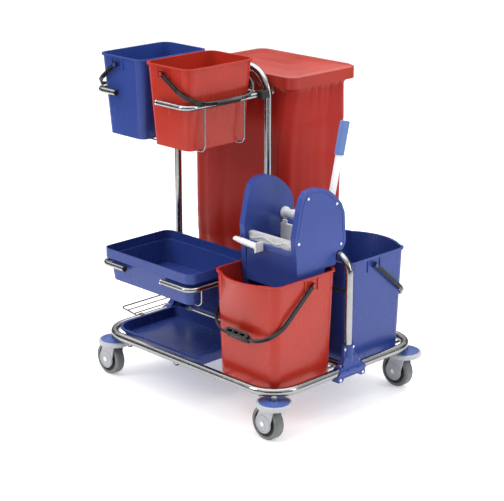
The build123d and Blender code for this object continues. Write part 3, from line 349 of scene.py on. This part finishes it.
def tube(name, points, radius, material, body, sides=14, profile=None):
    """A closed round tube along a list of points; profile gives each point's radius if it varies."""
    points = [Vector(p) for p in points]
    verts, faces = [], []
    up = Vector((0, 0, 1))
    first = (points[1] - points[0]).normalized()
    if abs(first.dot(up)) > 0.9:
        up = Vector((1, 0, 0))
    side = first.cross(up).normalized()
    for i, point in enumerate(points):
        ahead = points[min(i + 1, len(points) - 1)] - points[max(i - 1, 0)]
        ahead.normalize()
        side = (side - ahead * side.dot(ahead)).normalized()
        other = ahead.cross(side)
        r = profile[i] if profile else radius
        for k in range(sides):
            angle = 2 * math.pi * k / sides
            verts.append(point + side * (r * math.cos(angle)) + other * (r * math.sin(angle)))
    for i in range(len(points) - 1):
        for k in range(sides):
            a, b = i * sides + k, i * sides + (k + 1) % sides
            faces.append((a, b, b + sides, a + sides))
    faces.append(tuple(reversed(range(sides))))
    faces.append(tuple(range(len(verts) - sides, len(verts))))
    return keep(name, verts, faces, material, body)


def rounded(points, radius, steps=8):
    """Replaces each corner of a polyline by an arc."""
    points = [Vector(p) for p in points]
    out = []
    count = len(points)
    for i, point in enumerate(points):
        if i in (0, count - 1):
            out.append(point)
            continue
        back = (points[i - 1] - point).normalized()
        ahead = (points[i + 1] - point).normalized()
        half = back.angle(ahead) / 2
        if half > math.radians(89):
            out.append(point)
            continue
        room = min((points[i - 1] - point).length, (points[i + 1] - point).length) / 2.02
        reach = min(radius / math.tan(half), room)
        r = reach * math.tan(half)
        centre = point + (back + ahead).normalized() * (r / math.sin(half))
        start, stop = point + back * reach - centre, point + ahead * reach - centre
        turn = start.angle(stop)
        for k in range(steps + 1):
            t = k / steps
            if turn < 1e-6:
                out.append(centre + start)
            else:
                swing = start * math.sin((1 - t) * turn) + stop * math.sin(t * turn)
                out.append(centre + swing / math.sin(turn))
    return out


# ------------------------------------------------------------------ the bag as a thin film
BAG_Z = (0.1180, 0.300, 0.450, 0.800, 0.916)
BAG_LEFT = (-0.325, -0.324, -0.322, -0.320, -0.276)
BAG_RIGHT = (0.062, 0.070, 0.082, 0.083, 0.096)
BAG_FRONT = (0.032, 0.025, 0.026, 0.028, 0.038)
BAG_BACK = (0.262, 0.270, 0.290, 0.292, 0.276)
BAG_CORNER = (0.095, 0.060, 0.040, 0.034, 0.034)


def at_height(values, z):
    for i in range(len(BAG_Z) - 1):
        if z <= BAG_Z[i + 1] or i == len(BAG_Z) - 2:
            t = (z - BAG_Z[i]) / (BAG_Z[i + 1] - BAG_Z[i])
            t = min(max(t, 0.0), 1.0)
            return values[i] + (values[i + 1] - values[i]) * t


def around(left, right, front, back, corner, share):
    """A point and its outward normal on a rounded rectangle, share of the way round."""
    width, depth = right - left - 2 * corner, back - front - 2 * corner
    arc = math.pi * corner / 2
    lengths = [width, arc, depth, arc, width, arc, depth, arc]
    near_left, near_right = left + corner, right - corner
    near_front, near_back = front + corner, back - corner
    centres = [
        (near_right, near_front),
        (near_right, near_back),
        (near_left, near_back),
        (near_left, near_front),
    ]
    distance = share * sum(lengths)
    for i, length in enumerate(lengths):
        if distance <= length or i == 7:
            break
        distance -= length
    quarter = i // 2
    angle = -math.pi / 2 + quarter * math.pi / 2
    normal = Vector((math.cos(angle), math.sin(angle), 0))
    onward = Vector((-normal.y, normal.x, 0))
    if i % 2 == 0:
        start = Vector((*centres[(quarter + 3) % 4], 0)) + normal * corner
        return start + onward * distance, normal
    angle += distance / corner
    normal = Vector((math.cos(angle), math.sin(angle), 0))
    return Vector((*centres[quarter], 0)) + normal * corner, normal


def fold_depth(point, share, z):
    """How far the film falls inside its outline: long soft folds, gathers under the lid, slack low down."""
    phase = share * 2 * math.pi
    long_fold = 0.5 + 0.5 * math.sin(5 * phase + 1.6 * math.sin(2 * phase + 1.0) + 1.2 * z)
    long_fold = long_fold ** 3
    second = (0.5 + 0.5 * math.sin(11 * phase + 2.3 * math.sin(3 * phase) - 2.0 * z + 0.7)) ** 3
    gather = max(0.0, (z - 0.80) / 0.116) ** 1.5
    pleats = (0.5 + 0.5 * math.sin(31 * phase + 3.0 * math.sin(5 * phase))) ** 2
    soft = noise.noise(Vector((point.x * 5, point.y * 5, z * 2.2))) * 0.5 + 0.5
    slack = math.exp(-(((z - 0.36) / 0.10) ** 2))
    buckle = (0.5 + 0.5 * noise.noise(Vector((point.x * 16, point.y * 16, z * 34)))) * slack
    depth = 0.0060 * long_fold + 0.0018 * second + 0.0070 * soft
    depth += 0.0045 * pleats * gather + 0.005 * buckle
    fade = min(1.0, max(0.0, (0.925 - z) / 0.03))
    return depth * (0.25 + 0.75 * fade)


RING = (-0.272, 0.097, 0.037, 0.285)  # left, right, front, back of the ring
RING_CORNER = 0.024
columns, rows = 420, 150
RIM_RADIUS = 0.0056  # the film rolls over the bag ring
RIM_Z = 0.9225
WALL_TOP, WALL_FOOT = 0.914, 0.1185
levels = []
for k in range(6):
    levels.append(("rim", math.pi * (k / 5.0)))
for k in range(rows):
    levels.append(("wall", WALL_TOP - (WALL_TOP - WALL_FOOT) * k / (rows - 1)))
verts, faces = [], []
for kind, value in levels:
    for j in range(columns):
        share = j / columns
        if kind == "rim":
            point, normal = around(*RING, RING_CORNER, share)
            inward = RIM_RADIUS * math.cos(value)
            x, y = point.x + BASE_X - normal.x * inward, point.y - normal.y * inward
            verts.append((x, y, RIM_Z + RIM_RADIUS * math.sin(value)))
        else:
            z = value
            sizes = [at_height(v, z) for v in (BAG_LEFT, BAG_RIGHT, BAG_FRONT, BAG_BACK, BAG_CORNER)]
            point, normal = around(*sizes, share)
            blend = min(1.0, max(0.0, (WALL_TOP - z) / 0.02))
            rim_point, rim_normal = around(*RING, RING_CORNER, share)
            # the right side stays clear of the blue mop bucket and its bail
            beside = min(1.0, max(0.0, normal.x * 3)) * min(1.0, max(0.0, (0.78 - z) / 0.08))
            place = point + normal * (0.0060 - 0.0070 * beside - fold_depth(point, share, z))
            place = (rim_point + rim_normal * RIM_RADIUS) * (1 - blend) + place * blend
            verts.append((place.x + BASE_X, place.y, z))
for i in range(len(levels) - 1):
    for j in range(columns):
        a, b = i * columns + j, i * columns + (j + 1) % columns
        faces.append((a, a + columns, b + columns, b))
low = (len(levels) - 1) * columns
centre = len(verts)
inner = [Vector(verts[low + j]) for j in range(columns)]
middle = sum(inner, Vector()) / columns
for shrink in (0.75, 0.45, 0.15):
    for j in range(columns):
        spot = middle + (inner[j] - middle) * shrink
        wrinkle = 0.0015 * (0.5 + 0.5 * noise.noise(spot * 20))
        verts.append((spot.x, spot.y, 0.1188 + wrinkle))
for ring_index in range(3):
    start = low if ring_index == 0 else centre + (ring_index - 1) * columns
    stop = centre + ring_index * columns
    for j in range(columns):
        k = (j + 1) % columns
        faces.append((start + j, stop + j, stop + k, start + k))
verts.append(tuple(middle + Vector((0, 0, 0.001))))
for j in range(columns):
    last = centre + 2 * columns
    faces.append((last + j, len(verts) - 1, last + (j + 1) % columns))
bag_film = keep("bag_film_skin", verts, faces, film, "frame")
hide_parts("bag")

# ------------------------------------------------------------------ raised outline on the wringer's covers
cheek = [
    (22, 500), (27, 511), (21, 595), (8, 623), (-18, 650), (-46, 671), (-79, 683), (-111, 685),
    (-134, 680), (-149, 666), (-161, 629), (-177, 556),
]
middle_y, middle_z = -78, 560
inset = []
for y, z in cheek:
    away = Vector((y - middle_y, z - middle_z))
    inset.append(away * (1 - 11 / away.length) + Vector((middle_y, middle_z)))
outline = rounded([(0, p.x / 1000, p.y / 1000) for p in inset], 0.012, 5)
for label, x in (("right", 0.3212), ("left", 0.1028)):
    line = [Vector((BASE_X + x, p.y, p.z)) for p in outline]
    tube(label + "_cover_line", line, 0.0011, blue_shell, "wringer", 8)

# ------------------------------------------------------------------ wavy ridge on the fixed jaw, rings on the latch
jaw_low, jaw_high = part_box("wringer_jaw_fixed")
ridge = []
for k in range(61):
    t = k / 60
    wave = math.sin(2 * math.pi * 2 * t + 0.6) * 0.5 + 0.5
    x = jaw_low[0] + 0.004 + (jaw_high[0] - jaw_low[0] - 0.008) * t
    ridge.append((x, jaw_low[1] - 0.0006, jaw_high[2] - 0.006 - 0.010 * wave))
tube("jaw_ridge", ridge, 0.0022, jaw_grey_painted_shade, "wringer", 10)
for k in range(5):
    x = jaw_low[0] + 0.020 + k * (jaw_high[0] - jaw_low[0] - 0.040) / 4
    y = jaw_low[1] - 0.0004
    middle_height = (jaw_low[2] + jaw_high[2]) / 2
    rib = [(x, y, jaw_low[2] + 0.003), (x, y, middle_height), (x, y, jaw_high[2] - 0.003)]
    tube("jaw_rib_" + str(k), rib, 0.0014, jaw_grey_painted_shade, "wringer", 8)
line, girth = [], []
for k in range(49):
    t = k / 48
    line.append((BASE_X + 0.0985 + 0.090 * t, -0.190, 0.5158 - 0.0068 * t))
    step = 0.0014 * (1 if (t * 7) % 1 < 0.5 else 0) if t > 0.12 else 0.0
    girth.append(0.0086 - 0.0026 * (1 - t) * (0.4 if t > 0.3 else 0.8) + step)
girth[0], girth[1] = 0.0040, 0.0060
tube("latch_rings", line, 0.0086, white_part, "wringer", 18, girth)

# ------------------------------------------------------------------ stage: floor, lights, surroundings
floor_material = Graph("pale floor")
patches = floor_material.remap(floor_material.noise(1.4, 4.0), 0.3, 0.7, 0.0, 1.0)
shade = floor_material.mix(patches, (0.86, 0.86, 0.87), (0.90, 0.90, 0.90))
floor_material.link(shade, floor_material.shader.inputs["Base Color"])
floor_material.shader.inputs["Emission Color"].default_value = (1.0, 1.0, 1.0, 1.0)
floor_material.shader.inputs["Emission Strength"].default_value = 0.34
floor_material.shader.inputs["Roughness"].default_value = 0.42
floor_material.shader.inputs["Specular IOR Level"].default_value = 0.25
bpy.ops.mesh.primitive_plane_add(size=60, location=(0, 0, 0))
floor = bpy.context.object
floor.name = "floor"
floor.data.materials.append(floor_material.material)


def soft_light(name, place, aim, size, power, colour=(1, 1, 1)):
    light = bpy.data.lights.new(name, "AREA")
    light.shape = "RECTANGLE"
    light.size, light.size_y = size
    light.energy = power
    light.color = colour
    lamp = bpy.data.objects.new(name, light)
    lamp.location = place
    lamp.rotation_euler = (Vector(aim) - Vector(place)).to_track_quat("-Z", "Y").to_euler()
    bpy.context.scene.collection.objects.link(lamp)
    return lamp


lamps = [
    soft_light("overhead", (-0.3, 0.2, 3.4), (0, 0, 0.4), (5.0, 5.0), 160),
    soft_light("key", (-1.6, -3.4, 2.6), (0, 0, 0.6), (1.3, 2.0), 60, (1.0, 0.985, 0.96)),
    soft_light("side", (3.6, 1.2, 1.8), (0, 0, 0.5), (0.9, 2.2), 42, (0.96, 0.98, 1.0)),
]
# black cards that only reflections see
CARD_REACH = 2.3
cards = []
card_material = bpy.data.materials.new("black card")
card_material.use_nodes = True
card_material.node_tree.nodes["Principled BSDF"].inputs["Base Color"].default_value = (0.01, 0.01, 0.01, 1)
for turn, width in ((315, 1.9), (262, 0.6), (222, 1.2), (184, 0.6), (5, 0.5), (62, 0.9), (100, 0.4)):
    angle = math.radians(turn)
    place = (CARD_REACH * math.cos(angle), CARD_REACH * math.sin(angle), 0.65)
    bpy.ops.mesh.primitive_plane_add(size=1, location=place)
    card = bpy.context.object
    card.name = "card_" + str(turn)
    card.scale = (width, 1.3, 1)
    card.rotation_euler = (math.pi / 2, 0, angle + math.pi / 2)
    card.data.materials.append(card_material)
    card.visible_camera = False
    card.visible_diffuse = False
    card.visible_shadow = False
    cards.append(card)
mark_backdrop(floor, *lamps, *cards)

world = bpy.data.worlds.new("studio")
bpy.context.scene.world = world
world.use_nodes = True
tree = world.node_tree
background = tree.nodes["Background"]
coords = tree.nodes.new("ShaderNodeTexCoord")
split = tree.nodes.new("ShaderNodeSeparateXYZ")
tree.links.new(coords.outputs["Generated"], split.inputs[0])
ramp = tree.nodes.new("ShaderNodeValToRGB")
tree.links.new(split.outputs["Z"], ramp.inputs["Fac"])
ramp.color_ramp.elements[0].position = 0.0
ramp.color_ramp.elements[0].color = (0.03, 0.03, 0.03, 1)
ramp.color_ramp.elements[1].position = 1.0
ramp.color_ramp.elements[1].color = (1.0, 1.0, 1.0, 1)
for position, level in ((0.22, 0.05), (0.34, 0.75), (0.60, 0.95)):
    element = ramp.color_ramp.elements.new(position)
    element.color = (level, level, level, 1)
tree.links.new(ramp.outputs["Color"], background.inputs["Color"])
background.inputs["Strength"].default_value = 0.95

# ------------------------------------------------------------------ camera
camera_data = bpy.data.cameras.new("camera")
camera_data.lens = 111.75
camera_data.sensor_width = 36.0
camera_data.sensor_fit = "HORIZONTAL"
camera_data.clip_end = 100.0
camera_data.dof.use_dof = False
camera = bpy.data.objects.new("camera", camera_data)
camera.location = (3.1642, -3.0956, 1.8206)
camera.rotation_euler = (math.radians(72.27), 0.0, math.radians(45.54))
bpy.context.scene.collection.objects.link(camera)
scene = bpy.context.scene
scene.camera = camera
scene.render.resolution_x = 504
scene.render.resolution_y = 501
scene.render.resolution_percentage = 100
scene.view_settings.view_transform = "Standard"
scene.view_settings.look = "None"
scene.view_settings.exposure = 0.0
scene.view_settings.gamma = 1.0

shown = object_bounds()
sizes = {"frame": [list(corner) for corner in frame_bounds], "shown": [list(corner) for corner in shown]}
